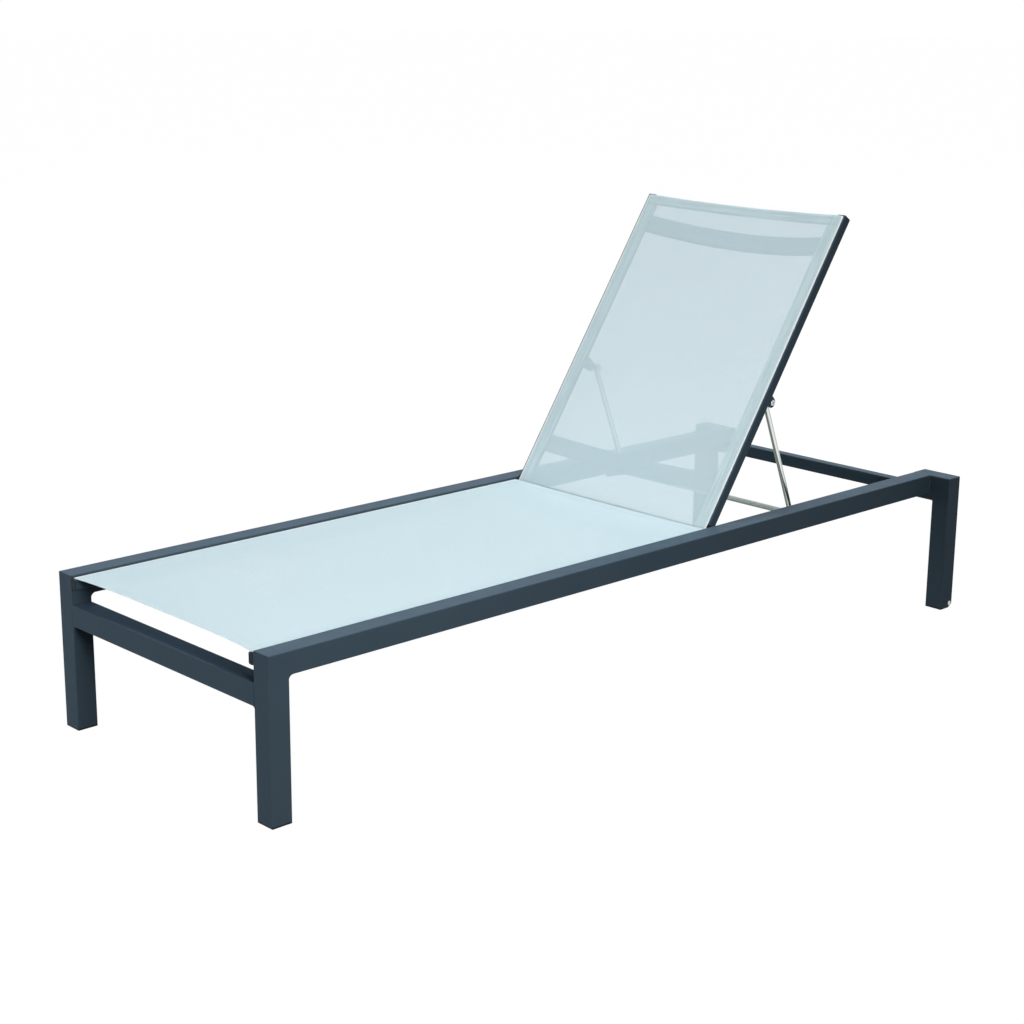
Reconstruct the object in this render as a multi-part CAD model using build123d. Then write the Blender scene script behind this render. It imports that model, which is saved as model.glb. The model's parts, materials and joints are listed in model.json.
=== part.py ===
from build123d import *
import os
from math import atan2, cos, degrees, hypot, radians, sin

os.makedirs("parts", exist_ok=True)

# A reclining sun lounger with a stretched mesh seat and backrest on an aluminium frame.
# The origin is on the ground under the middle of the frame. +X points to the head end,
# +Z is up, and left is the side at -Y. All lengths are in millimetres, angles in degrees.

# Driving sizes of the frame
overall_length = 2000.0
seat_height = 325.0          # top of the side rails
rail_span = 690.0            # over the outer faces of the side rails
leg_outset = 55.0            # outer faces of the head legs beyond those of the side rails
tube_side = 45.0             # side rails and legs are one square tube
tube_wall = 2.0
tube_edge = 2.0              # rounding along the edges of every tube

# Foot end
foot_bar_depth = 42.0
foot_bar_height = 45.0
foot_bar_drop = 60.0         # from the rail top down to the bar top
rail_weld_radius = 11.0      # ground weld between rail and foot leg
bar_weld_radius = 9.0
small_weld_radius = 4.0

# Head end
corner_height = 60.0
corner_wall = 3.0
head_bar_depth = 25.0
head_bar_height = 29.5
flat_gap = 0.5               # head crossbar to the backrest that lies flat on it

# Glides under the legs
glide_height = 4.0
glide_insert_height = 22.0
glide_insert_wall = 2.5
insert_clearance = 0.2

# Rollers in the head legs
roller_radius = 11.0
roller_width = 24.0
roller_setback = 12.6        # axle to the head face of the leg
roller_ground_gap = 0.5
roller_gap = 1.5             # free space round the roller
roller_tread_groove = 1.2
leg_bevel_length = 14.0
leg_bevel_height = 9.0
axle_radius = 3.0
axle_head_radius = 5.5
axle_head_height = 2.4
axle_socket_radius = 2.0
running_clearance = 0.05     # radial play of a pin in its bore
side_gap = 0.3               # play beside a turning part

# Seat sling and the profiles that hold it
sling_thickness = 1.2
sling_drop = 3.8             # sling surface below the rail top
seat_setback = 1.0           # foot end of the sling behind the leg faces
back_gap = 1.3               # head end of the seat to the backrest's hinge bosses
seat_rail_width = 14.0
seat_rail_height = 23.5
profile_edge = 4.0
profile_wall = 1.8
groove_radius = 3.0
groove_inset = 4.2           # groove centre below the profile surface
groove_slot = 2.6
groove_web = 1.5             # metal between the groove and the hollow below it
spline_clearance = 0.3
end_cap_thickness = 2.0
sling_edge_inset = 1.5
seat_bar_inset = 50.0        # middle of the bar under the seat, from the seat's head end

# Backrest
back_angle = 56.1            # rest position, from the horizontal
hinge_drop = 15.0            # hinge axis below the rail top
back_length = 779.5          # from the hinge to the top of the backrest
back_end_gap = 9.7           # top of the flat backrest to the head end of the frame
back_side_gap = 3.8          # backrest rails to the side rails
back_rail_width = 23.0
back_rail_depth = 22.5
back_edge = 3.0              # rounding along the edges of the backrest rails
back_groove_inset = 5.0      # groove centre from the outer side and from the sling face
back_cap_length = 3.0
cap_round_share = 0.8        # rounding of a cap's end, of the rail's edge rounding
hinge_boss_radius = 10.0
hinge_plug_length = 16.0
plug_tongue_length = 30.0
hinge_pin_radius = 4.0
hinge_head_radius = 7.0
hinge_head_height = 5.0
hinge_socket_radius = 2.9
socket_depth = 2.6
washer_radius = 9.5
rivet_nut_radius = 5.6
rivet_nut_length = 14.0

# Bowed bars across the backrest and under the seat
bar_width = 42.0
bar_thickness = 18.0
bar_edge = 5.0
bar_wall = 2.0
bar_bow = 28.0
upper_bar_bow = 42.0
bar_sink = 4.0               # front face of a bar behind the profile's sling face
lower_bar_place = 113.5      # from the hinge
upper_bar_inset = 73.2       # from the top of the backrest

# Support bail and the plates it swings on
bail_pivot_place = 332.0     # along the backrest from the hinge
bail_pivot_depth = 37.0      # behind the hinge axis, square to the backrest
rod_reach = 324.6            # rod centre beyond the hinge in the rest position
rod_drop = 35.0              # rod centre below the rail top
rod_flat_drop = 40.0         # the same when the backrest lies flat
rod_radius = 6.5
rod_end_gap = 1.0            # rod end to the rack plate
strut_radius = 6.0
bail_wall = 1.5
strut_eye_radius = 9.5
strut_eye_width = 13.0
lug_thickness = 4.0
lug_radius = 11.5
lug_base_length = 30.0
lug_base_height = 4.0
lug_inset = 7.0              # lug's outer face outboard of the backrest rail's inner side
lug_lean = 2.0               # middle of the lug's base past its pivot
bail_pin_radius = 4.0
bail_head_radius = 6.8
bail_head_height = 4.5
bail_nut_height = 4.5
bail_nut_across = 13.0
spacer_radius = 7.0
spacer_length = 8.9
rod_plug_length = 15.0
rod_plug_dome = 0.8

# Notched racks on the side rails
rack_plate_thickness = 3.0
rack_ledge_thickness = 10.0
rack_top_drop = 16.0         # top of the rack's plate below the rail top
rack_rib = 7.5               # depth of the ledge below its crest
rack_back = 24.0             # from the rest notch to the foot end of the rack
rack_front = 132.0           # from the rest notch to the head end of the rack
rack_stop_gap = 0.7
rack_stop_rise = 3.5         # end stop above the rod centre
notch_play = 0.5
notch_depth = 4.0
rack_path_gap = 1.0          # crest of the rack to the rod as it passes
notch_count = 3
notch_step = 5.45            # turn of the backrest from one notch to the next
trace_count = 12
trace_step = 2.0             # turn of the backrest between points of the rack's crest
rack_screw_inset = 10.0

# Screws
screw_radius = 2.2
screw_head_radius = 4.4
screw_head_height = 2.4
screw_length_past = 4.0      # screw tip past the rail wall
screw_socket_radius = 1.3
screw_socket_depth = 1.2
head_round_share = 0.45      # rounding of a screw's head, of the head's height
seat_screw_count = 4
seat_screw_inset = 70.0      # first screw from the foot end of the seat
seat_screw_bar_gap = 15.0    # last screw from the bar under the seat

cut_overrun = 5.0

# Places that follow from the sizes above
foot_x = -overall_length / 2
head_x = overall_length / 2
rail_out = rail_span / 2
rail_in = rail_out - tube_side
rail_middle = rail_out - tube_side / 2
leg_out = rail_out + leg_outset
leg_middle = leg_out - tube_side / 2
corner_x = head_x - tube_side
corner_bottom = seat_height - corner_height
sling_top = seat_height - sling_drop
profile_top = sling_top - sling_thickness
hinge_place = head_x - back_end_gap - back_length
hinge_z = seat_height - hinge_drop
seat_start = foot_x + seat_setback
seat_end = hinge_place - hinge_boss_radius - back_gap
seat_bar_place = seat_end - seat_bar_inset
seat_rail_in = rail_in - seat_rail_width
back_out = rail_in - back_side_gap
back_in = back_out - back_rail_width
back_rail_rise = hinge_drop - sling_drop - sling_thickness
back_bottom = back_rail_rise - back_rail_depth
head_bar_top = hinge_z + back_bottom - flat_gap
foot_bar_top = seat_height - foot_bar_drop
axle_x = head_x - roller_setback
axle_z = roller_radius + roller_ground_gap
screw_z = profile_top - (seat_rail_height + groove_inset + groove_radius) / 2
lug_out = back_in + lug_inset
strut_place = lug_out - lug_thickness - spacer_length - side_gap - strut_eye_width / 2
rod_place = hinge_place + rod_reach
rod_height = seat_height - rod_drop
rod_flat_height = seat_height - rod_flat_drop
rack_top = seat_height - rack_top_drop


def turned(along, rise, angle):
    """A point of the backrest seen from the side, turned up about the hinge."""
    a = radians(angle)
    return hinge_place + along * cos(a) - rise * sin(a), hinge_z + along * sin(a) + rise * cos(a)


pivot_x, pivot_z = turned(bail_pivot_place, -bail_pivot_depth, back_angle)
bail_length = hypot(rod_place - pivot_x, rod_height - pivot_z)
bail_angle = degrees(atan2(rod_height - pivot_z, rod_place - pivot_x))
flat_pivot_x, flat_pivot_z = turned(bail_pivot_place, -bail_pivot_depth, 0)
flat_rod_reach = (bail_length**2 - (rod_flat_height - flat_pivot_z)**2)**0.5
flat_bail_angle = degrees(atan2(rod_flat_height - flat_pivot_z, flat_rod_reach))
bail_ratio = (flat_bail_angle - bail_angle) / back_angle


def rod_centre(angle):
    """Where the rod is, seen from the side, with the backrest at this angle."""
    x, z = turned(bail_pivot_place, -bail_pivot_depth, angle)
    a = radians(bail_angle + bail_ratio * (back_angle - angle))
    return x + bail_length * cos(a), z + bail_length * sin(a)


def write(name, shape):
    shape.label = name
    export_step(shape, f"parts/{name}.step")


def write_pair(name, left):
    write(f"{name}_left", left)
    write(f"{name}_right", mirror(left, about=Plane.XZ))


def write_group(name, solids):
    write(name, Compound(children=solids))


def along_x(section, start, end, y=0, z=0):
    return extrude(Plane.YZ.offset(start) * Pos(y, z) * section, amount=end - start, dir=(1, 0, 0))


def along_y(section, start, end, x=0, z=0):
    return extrude(Plane.XZ.offset(-start) * Pos(x, z) * section, amount=end - start, dir=(0, 1, 0))


def along_z(section, start, end, x=0, y=0):
    return extrude(Plane.XY.offset(start) * Pos(x, y) * section, amount=end - start, dir=(0, 0, 1))


def tube_section(width, height, wall=tube_wall):
    return RectangleRounded(width, height, tube_edge) - Rectangle(width - 2 * wall, height - 2 * wall)


def box_between(x0, x1, y0, y1, z0, z1):
    return Pos((x0 + x1) / 2, (y0 + y1) / 2, (z0 + z1) / 2) * Box(abs(x1 - x0), abs(y1 - y0), abs(z1 - z0))


def pin(radius, y0, y1, x, z):
    return along_y(Circle(radius), min(y0, y1), max(y0, y1), x, z)


def at_backrest(shape):
    """Turn a shape made flat about the hinge up to the rest position."""
    return Pos(hinge_place, 0, hinge_z) * Rot(0, -back_angle, 0) * shape


def at_bail(shape):
    """Turn a shape made along +X from the bail pivot down to the rest position."""
    return Pos(pivot_x, 0, pivot_z) * Rot(0, -bail_angle, 0) * shape


def weld_bead(radius):
    """Section of a ground weld in a corner at the origin, between +x and +y."""
    square = Pos(radius / 2, radius / 2) * Rectangle(radius, radius)
    return square - Pos(radius, radius) * Circle(radius)


def bowed_bar(half_length, bow=bar_bow):
    """A hollow flat bar along Y. Its ends are centred on z = 0 and its middle drops by the bow."""
    def band(thickness, width):
        rise = thickness / 2
        outline = Wire([
            ThreePointArc((0, -half_length, rise), (0, 0, rise - bow), (0, half_length, rise)),
            Line((0, half_length, rise), (0, half_length, -rise)),
            ThreePointArc((0, half_length, -rise), (0, 0, -rise - bow), (0, -half_length, -rise)),
            Line((0, -half_length, -rise), (0, -half_length, rise)),
        ])
        return extrude(Face(outline), amount=width / 2, both=True)

    outer = band(bar_thickness, bar_width)
    long_edges = outer.edges().filter_by(GeomType.CIRCLE)
    outer = fillet(long_edges, bar_edge)
    return outer - band(bar_thickness - 2 * bar_wall, bar_width - 2 * bar_wall)


def socket_screw(radius, head_radius, head_height, socket_radius, depth, length):
    """A round-headed screw along -Z with its head's underside at the origin."""
    head = extrude(Circle(head_radius), amount=head_height)
    head = fillet(head.faces().sort_by(Axis.Z)[-1].edges(), head_height * head_round_share)
    shank = extrude(Circle(radius), amount=-length)
    socket = Pos(0, 0, head_height - depth) * extrude(RegularPolygon(socket_radius, 6), amount=head_height)
    return head + shank - socket


def foot_mitre():
    """The plane that halves the corner between a side rail and its foot leg."""
    return Plane(origin=(foot_x, 0, seat_height), x_dir=(0, 1, 0), z_dir=(1, 0, 1))


def head_corner_solid():
    """The cast corner without its hollow, rounded where the welded tubes leave its edges free."""
    block = box_between(corner_x, head_x, -leg_out, -rail_in, corner_bottom, seat_height)
    inner_end = block.faces().sort_by(Axis.Y)[-1].edges()
    upper = block.faces().sort_by(Axis.Z)[-1].edges() - inner_end
    upright = block.faces().sort_by(Axis.Y)[0].edges().filter_by(Axis.Z)
    return fillet(upper + upright, tube_edge)


def head_corner():
    block = head_corner_solid()
    hollow = box_between(corner_x + corner_wall, head_x - corner_wall, -leg_out + corner_wall,
                         -rail_in - corner_wall, corner_bottom + corner_wall, seat_height - corner_wall)
    half_bore = tube_side / 2 - corner_wall
    bore = box_between(corner_x + corner_wall, head_x - corner_wall, -leg_middle - half_bore,
                       -leg_middle + half_bore, corner_bottom - cut_overrun, seat_height - corner_wall)
    return block - hollow - bore


def side_rail():
    rail = along_x(tube_section(tube_side, tube_side), foot_x, corner_x + tube_edge,
                   -rail_middle, seat_height - tube_side / 2)
    rail = split(rail, bisect_by=foot_mitre(), keep=Keep.TOP)
    rail = rail - head_corner_solid()
    inner_wall = (-rail_in - tube_wall - cut_overrun, -rail_in + cut_overrun)
    rail = rail - pin(rivet_nut_radius, *inner_wall, hinge_place, hinge_z)
    for x, z in rack_screw_places():
        rail = rail - pin(screw_radius, *inner_wall, x, z)
    for x in seat_screw_places():
        rail = rail - pin(screw_radius, *inner_wall, x, screw_z)
    return rail.solids().sort_by(SortBy.VOLUME)[-1]


def foot_leg():
    leg = along_z(tube_section(tube_side, tube_side), glide_height, seat_height,
                  foot_x + tube_side / 2, -rail_middle)
    return split(leg, bisect_by=foot_mitre(), keep=Keep.BOTTOM)


def foot_crossbar():
    section = tube_section(foot_bar_depth, foot_bar_height)
    return along_y(section, -rail_in, rail_in, foot_x + foot_bar_depth / 2,
                   foot_bar_top - foot_bar_height / 2)


def head_crossbar():
    section = tube_section(head_bar_depth, head_bar_height)
    return along_y(section, -rail_in, rail_in, corner_x + head_bar_depth / 2,
                   head_bar_top - head_bar_height / 2)


def leg_bevel():
    """The wedge cut off the lower head corner of a head leg, in front of its roller."""
    wedge = Polygon((head_x - leg_bevel_length, 0), (head_x + cut_overrun, 0),
                    (head_x + cut_overrun, leg_bevel_height * (1 + cut_overrun / leg_bevel_length)),
                    align=None)
    return along_y(wedge, -leg_out - cut_overrun, -leg_out + tube_side + cut_overrun)


def roller_slot():
    half_width = roller_width / 2 + roller_gap
    reach = roller_radius + roller_gap
    return box_between(axle_x - reach, head_x + cut_overrun, -leg_middle - half_width,
                       -leg_middle + half_width, -cut_overrun, axle_z + reach)


def head_leg():
    leg = along_z(tube_section(tube_side, tube_side), glide_height, corner_bottom,
                  head_x - tube_side / 2, -leg_middle)
    leg = leg - leg_bevel() - roller_slot()
    leg = leg - pin(axle_radius, -leg_out - cut_overrun, -leg_out + tube_side + cut_overrun, axle_x, axle_z)
    return leg.solids().sort_by(SortBy.VOLUME)[-1]


def glide(middle_x, middle_y):
    """A plastic cap under a leg, with a hollow insert up inside the tube."""
    plate = along_z(RectangleRounded(tube_side, tube_side, tube_edge), 0, glide_height, middle_x, middle_y)
    bore = tube_side - 2 * tube_wall - 2 * insert_clearance
    ring = Rectangle(bore, bore) - Rectangle(bore - 2 * glide_insert_wall, bore - 2 * glide_insert_wall)
    insert = along_z(ring, glide_height, glide_height + glide_insert_height, middle_x, middle_y)
    return plate + insert


def foot_glide():
    cap = glide(foot_x + tube_side / 2, -rail_middle)
    return fillet(cap.faces().sort_by(Axis.Z)[0].edges(), tube_edge / 2)


def head_glide():
    cap = glide(head_x - tube_side / 2, -leg_middle) - leg_bevel() - roller_slot()
    cap = cap - pin(axle_radius + side_gap, -leg_out, -leg_out + tube_side, axle_x, axle_z)
    return cap.solids().sort_by(SortBy.VOLUME)[-1]


def roller():
    half_width = roller_width / 2
    wheel = pin(roller_radius, -leg_middle - half_width, -leg_middle + half_width, axle_x, axle_z)
    rims = wheel.edges().filter_by(GeomType.CIRCLE)
    wheel = fillet(rims, roller_tread_groove)
    groove = Pos(axle_x, -leg_middle, axle_z) * Rot(90, 0, 0) * Torus(roller_radius, roller_tread_groove)
    bore = pin(axle_radius + running_clearance, -leg_middle - half_width - cut_overrun,
               -leg_middle + half_width + cut_overrun, axle_x, axle_z)
    return wheel - groove - bore


def roller_axle():
    """A bolt through both walls of the leg, with its head outside and its nut inside."""
    bolt = socket_screw(axle_radius, axle_head_radius, axle_head_height, axle_socket_radius,
                        axle_head_height / 2, tube_side)
    bolt = Pos(axle_x, -leg_out, axle_z) * Rot(90, 0, 0) * bolt
    nut = along_y(RegularPolygon(axle_head_radius, 6), -leg_out + tube_side,
                  -leg_out + tube_side + axle_head_height, axle_x, axle_z)
    return bolt + nut


def seat_rail_outline():
    return RectangleRounded(seat_rail_width, seat_rail_height, profile_edge)


def seat_rail_end_x():
    return seat_end - end_cap_thickness


def seat_rail():
    """The extruded profile that grips the side of the seat sling, with its groove open at the top."""
    half_height = seat_rail_height / 2
    groove_y = -seat_rail_width / 2 + groove_inset
    groove_z = half_height - groove_inset
    hollow_top = groove_z - groove_radius - groove_web
    hollow_height = hollow_top + half_height - profile_wall
    hollow = Pos(0, hollow_top - hollow_height / 2) * Rectangle(seat_rail_width - 2 * profile_wall,
                                                                 hollow_height)
    slot = Pos(groove_y, groove_z + groove_inset) * Rectangle(groove_slot, 2 * groove_inset)
    section = seat_rail_outline() - hollow - Pos(groove_y, groove_z) * Circle(groove_radius) - slot
    rail = along_x(section, seat_start + end_cap_thickness, seat_rail_end_x(),
                   -rail_in + seat_rail_width / 2, profile_top - half_height)
    for x in seat_screw_places():
        rail = rail - pin(screw_radius, -rail_in - cut_overrun, -seat_rail_in + cut_overrun, x, screw_z)
    return rail


def seat_rail_caps():
    caps = []
    for side in (-1, 1):
        y = side * (rail_in - seat_rail_width / 2)
        for start in (seat_start, seat_rail_end_x()):
            caps.append(along_x(seat_rail_outline(), start, start + end_cap_thickness,
                                y, profile_top - seat_rail_height / 2))
    return caps


def seat_splines():
    y = rail_in - groove_inset
    rod = Circle(groove_radius - spline_clearance)
    return [along_x(rod, seat_start + end_cap_thickness, seat_rail_end_x(), side * y,
                    profile_top - groove_inset) for side in (-1, 1)]


def seat_screw_places():
    first = seat_start + seat_screw_inset
    last = seat_bar_place - bar_width / 2 - seat_screw_bar_gap
    return [first + (last - first) * i / (seat_screw_count - 1) for i in range(seat_screw_count)]


def seat_screws():
    screw = socket_screw(screw_radius, screw_head_radius, screw_head_height, screw_socket_radius,
                         screw_socket_depth, seat_rail_width + tube_wall + screw_length_past)
    left = [Pos(x, -seat_rail_in, screw_z) * Rot(-90, 0, 0) * screw for x in seat_screw_places()]
    return left + [mirror(one, about=Plane.XZ) for one in left]


def seat_sling():
    half = rail_in - sling_edge_inset
    return box_between(seat_start, seat_end, -half, half, profile_top, sling_top)


def seat_bar():
    bar = bowed_bar(seat_rail_in)
    return Pos(seat_bar_place, 0, profile_top - bar_sink - bar_thickness / 2) * bar


def hinge_bolt():
    length = back_rail_width + side_gap + (rail_in - back_out) + rivet_nut_length
    bolt = socket_screw(hinge_pin_radius, hinge_head_radius, hinge_head_height, hinge_socket_radius,
                        socket_depth, length)
    return Pos(hinge_place, -back_in + side_gap, hinge_z) * Rot(-90, 0, 0) * bolt


def hinge_washer():
    washer = Circle(washer_radius) - Circle(hinge_pin_radius)
    return along_y(washer, -rail_in, -back_out - side_gap, hinge_place, hinge_z)


def hinge_nut():
    """A rivet nut set in the inner wall of the side rail."""
    ring = Circle(rivet_nut_radius) - Circle(hinge_pin_radius)
    return along_y(ring, -rail_in - rivet_nut_length, -rail_in, hinge_place, hinge_z)


def back_outline(depth=back_rail_depth):
    """Outer section of a backrest rail, centred on its own middle, local y square to the sling."""
    return RectangleRounded(back_rail_width, depth, back_edge)


def back_middle():
    return -back_out + back_rail_width / 2, back_rail_rise - back_rail_depth / 2


def back_hollow(clearance=0.0):
    """The hollow in a backrest rail, or what fits in it with this clearance all round."""
    bottom = -back_rail_depth / 2 + profile_wall
    top = back_rail_depth / 2 - back_groove_inset - groove_radius - groove_web
    width = back_rail_width - 2 * profile_wall
    height = top - bottom
    return Pos(0, (top + bottom) / 2) * Rectangle(width - 2 * clearance, height - 2 * clearance)


def back_rail():
    """The backrest's side profile, with its sling groove open to the front, near the outer edge."""
    y, z = back_middle()
    groove_y = -back_rail_width / 2 + back_groove_inset
    groove_z = back_rail_depth / 2 - back_groove_inset
    slot = Pos(groove_y, groove_z + back_groove_inset) * Rectangle(groove_slot, 2 * back_groove_inset)
    section = back_outline() - back_hollow() - Pos(groove_y, groove_z) * Circle(groove_radius) - slot
    return along_x(section, hinge_plug_length, back_length - back_cap_length, y, z)


def back_hinge_plug():
    """The fitting in the lower end of a backrest rail that turns on the hinge bolt."""
    y, z = back_middle()
    boss_edges = Circle(hinge_boss_radius).edges()
    face_edge = Line((hinge_plug_length, back_rail_rise), (hinge_plug_length, back_bottom))
    side = make_hull(boss_edges + [face_edge.edge()])
    body = along_y(side, -back_out, -back_in)
    tongue = along_x(back_hollow(insert_clearance), hinge_plug_length,
                     hinge_plug_length + plug_tongue_length, y, z)
    bore = pin(hinge_pin_radius + running_clearance, -back_out - cut_overrun, -back_in + cut_overrun, 0, 0)
    return body + tongue - bore


def back_cap():
    y, z = back_middle()
    start = back_length - back_cap_length
    cap = along_x(back_outline(), start, back_length, y, z)
    cap = fillet(cap.faces().sort_by(Axis.X)[-1].edges(), back_edge * cap_round_share)
    return cap + along_x(back_hollow(insert_clearance), start - plug_tongue_length, start, y, z)


def back_splines():
    y = back_out - back_groove_inset
    rod = Circle(groove_radius - spline_clearance)
    return [along_x(rod, hinge_plug_length, back_length - back_cap_length, side * y,
                    back_rail_rise - back_groove_inset) for side in (-1, 1)]


def back_sling():
    half = back_out - back_groove_inset + groove_slot / 2
    return box_between(0, back_length - back_cap_length, -half, half, back_rail_rise,
                       back_rail_rise + sling_thickness)


def back_bar(place, bow):
    """A bar across the backrest, with its middle this far from the hinge."""
    return Pos(place, 0, back_rail_rise - bar_sink - bar_thickness / 2) * bowed_bar(back_in, bow)


def bail_lug():
    """A plate welded under the backrest rail, with an eye for the bail's bolt."""
    base_middle = bail_pivot_place + lug_lean
    base = Pos(base_middle, back_bottom - lug_base_height / 2) * Rectangle(lug_base_length, lug_base_height)
    eye = Pos(bail_pivot_place, -bail_pivot_depth) * Circle(lug_radius)
    plate = make_hull(base.edges() + eye.edges())
    plate = plate - Pos(bail_pivot_place, -bail_pivot_depth) * Circle(bail_pin_radius)
    return along_y(plate, -lug_out, -lug_out + lug_thickness)


def bail_bolt():
    """A bolt through the lug, the spacer and the strut's eye, closed by a nut."""
    eye_inner = strut_place - strut_eye_width / 2
    length = lug_out - eye_inner + side_gap + bail_nut_height
    bolt = socket_screw(bail_pin_radius, bail_head_radius, bail_head_height, hinge_socket_radius,
                        socket_depth, length)
    bolt = Pos(bail_pivot_place, -lug_out, -bail_pivot_depth) * Rot(90, 0, 0) * bolt
    nut = RegularPolygon(bail_nut_across / 2, 6, major_radius=False)
    nut = along_y(nut, -eye_inner + side_gap, -eye_inner + side_gap + bail_nut_height,
                  bail_pivot_place, -bail_pivot_depth)
    return bolt + nut


def bail_spacer():
    ring = Circle(spacer_radius) - Circle(bail_pin_radius)
    return along_y(ring, -lug_out + lug_thickness, -lug_out + lug_thickness + spacer_length,
                   bail_pivot_place, -bail_pivot_depth)


def bail_strut():
    """A round tube from the bolt's eye to the rod, made along +X from the pivot."""
    eye_half = strut_eye_width / 2
    eye = pin(strut_eye_radius, -strut_place - eye_half, -strut_place + eye_half, 0, 0)
    tube = along_x(Circle(strut_radius) - Circle(strut_radius - bail_wall), strut_eye_radius,
                   bail_length, -strut_place, 0)
    neck = along_x(Circle(strut_radius), 0, strut_eye_radius + bail_wall, -strut_place, 0)
    bore = pin(bail_pin_radius + running_clearance, -strut_place - eye_half - cut_overrun,
               -strut_place + eye_half + cut_overrun, 0, 0)
    rod = pin(rod_radius, -strut_place - 2 * eye_half, -strut_place + 2 * eye_half, bail_length, 0)
    strut = eye + neck + tube - bore - rod
    return strut.solids().sort_by(SortBy.VOLUME)[-1]


def rod_half():
    return rail_in - rack_plate_thickness - rod_end_gap


def bail_rod():
    half = rod_half() - rod_plug_dome
    return along_y(Circle(rod_radius) - Circle(rod_radius - bail_wall), -half, half, bail_length, 0)


def rod_plugs():
    half = rod_half()
    plugs = []
    for side in (-1, 1):
        disc = pin(rod_radius, side * (half - rod_plug_dome), side * half, bail_length, 0)
        stem = pin(rod_radius - bail_wall, side * (half - rod_plug_length), side * half, bail_length, 0)
        plugs.append(disc + stem)
    return plugs


def rack_screw_places():
    z = rack_top - rack_screw_inset
    return [(rod_place - rack_back + rack_screw_inset, z), (rod_place + rack_front - rack_screw_inset, z)]


def rack_crest(angle):
    """The point of the rack square below the rod's path, where the rod is at this angle."""
    x, z = rod_centre(angle)
    ahead_x, ahead_z = rod_centre(angle - trace_step)
    step = hypot(ahead_x - x, ahead_z - z)
    drop = rod_radius + rack_path_gap
    return x + drop * (ahead_z - z) / step, z - drop * (ahead_x - x) / step


def rack():
    """A bracket on the side rail: a back plate, and a ledge with a notch for each position."""
    start = rod_place - rack_back
    end = rod_place + rack_front
    stop_x = rod_place - rod_radius - rack_stop_gap
    crest = [rack_crest(back_angle - trace_step * i) for i in range(trace_count)]
    rib = [(x, z - rack_rib) for x, z in crest]
    outline = [(start, rib[0][1]), (start, rod_height + rack_stop_rise),
               (stop_x, rod_height + rack_stop_rise), (stop_x, crest[0][1])]
    ledge = Polygon(*outline, *crest, *rib[::-1], align=None)
    notch_radius = rod_radius + notch_play
    for i in range(notch_count):
        x, z = rod_centre(back_angle - notch_step * i)
        ledge = ledge - Pos(x, z - notch_depth) * Circle(notch_radius)
    ledge = along_y(ledge, -rail_in, -rail_in + rack_ledge_thickness)
    plate = Polygon((start, rack_top), (start, rib[0][1]), *rib, (rib[-1][0], rack_top), align=None)
    plate = along_y(plate, -rail_in, -rail_in + rack_plate_thickness)
    bracket = split(ledge + plate, bisect_by=Plane.YZ.offset(end), keep=Keep.BOTTOM)
    for x, z in rack_screw_places():
        bracket = bracket - rack_screw(x, z, screw_radius)
    return bracket


def rack_screw(x, z, radius):
    """A countersunk screw whose head is flush with the rack's plate."""
    face = -rail_in + rack_plate_thickness
    sink = screw_head_radius - radius
    cone = Pos(x, face - sink / 2, z) * Rot(-90, 0, 0) * Cone(radius, screw_head_radius, sink)
    return cone + pin(radius, face - sink, -rail_in - tube_wall - screw_length_past, x, z)


def rack_screws():
    left = [rack_screw(x, z, screw_radius) for x, z in rack_screw_places()]
    return left + [mirror(one, about=Plane.XZ) for one in left]


def corner_welds():
    """Ground welds in the inner corners of the frame, all for the left side, then mirrored."""
    rail_bottom = seat_height - tube_side
    inner_face = foot_x + tube_side
    under_rail = Pos(inner_face, rail_bottom) * Rot(0, 0, -90) * weld_bead(rail_weld_radius)
    beads = [along_y(under_rail, -rail_out + tube_edge, -rail_in - tube_edge)]
    bar_bottom = foot_bar_top - foot_bar_height
    span = (foot_x + tube_edge, foot_x + foot_bar_depth - tube_edge)
    below = Pos(-rail_in, bar_bottom) * Rot(0, 0, -90) * weld_bead(bar_weld_radius)
    above = Pos(-rail_in, foot_bar_top) * weld_bead(small_weld_radius)
    beads = beads + [along_x(below, *span), along_x(above, *span)]
    beside = Pos(corner_x, -rail_out) * Rot(0, 0, 180) * weld_bead(small_weld_radius)
    beads.append(along_z(beside, rail_bottom + tube_edge, seat_height - tube_edge))
    leg_inner = -leg_out + tube_side
    under_corner = Pos(leg_inner, corner_bottom) * Rot(0, 0, -90) * weld_bead(small_weld_radius)
    beads.append(along_x(under_corner, corner_x + tube_edge, head_x - tube_edge))
    return beads + [mirror(bead, about=Plane.XZ) for bead in beads]


write_pair("side_rail", side_rail())
write_pair("foot_leg", foot_leg())
write("foot_crossbar", foot_crossbar())
write_pair("head_corner", head_corner())
write_pair("head_leg", head_leg())
write("head_crossbar", head_crossbar())
write_group("corner_welds", corner_welds())
write_pair("foot_glide", foot_glide())
write_pair("head_glide", head_glide())
write_pair("roller", roller())
write_pair("roller_axle", roller_axle())
write_pair("seat_rail", seat_rail())
write_group("seat_rail_caps", seat_rail_caps())
write_group("seat_splines", seat_splines())
write_group("seat_screws", seat_screws())
write("seat_sling", seat_sling())
write("seat_bar", seat_bar())
write_pair("hinge_bolt", hinge_bolt())
write_pair("hinge_washer", hinge_washer())
write_pair("hinge_nut", hinge_nut())
write_pair("back_rail", at_backrest(back_rail()))
write_pair("back_hinge_plug", at_backrest(back_hinge_plug()))
write_pair("back_cap", at_backrest(back_cap()))
write_group("back_splines", [at_backrest(rod) for rod in back_splines()])
write("back_sling", at_backrest(back_sling()))
write("back_lower_bar", at_backrest(back_bar(lower_bar_place, bar_bow)))
write("back_upper_bar", at_backrest(back_bar(back_length - upper_bar_inset, upper_bar_bow)))
write_pair("bail_lug", at_backrest(bail_lug()))
write_pair("bail_bolt", at_backrest(bail_bolt()))
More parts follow.
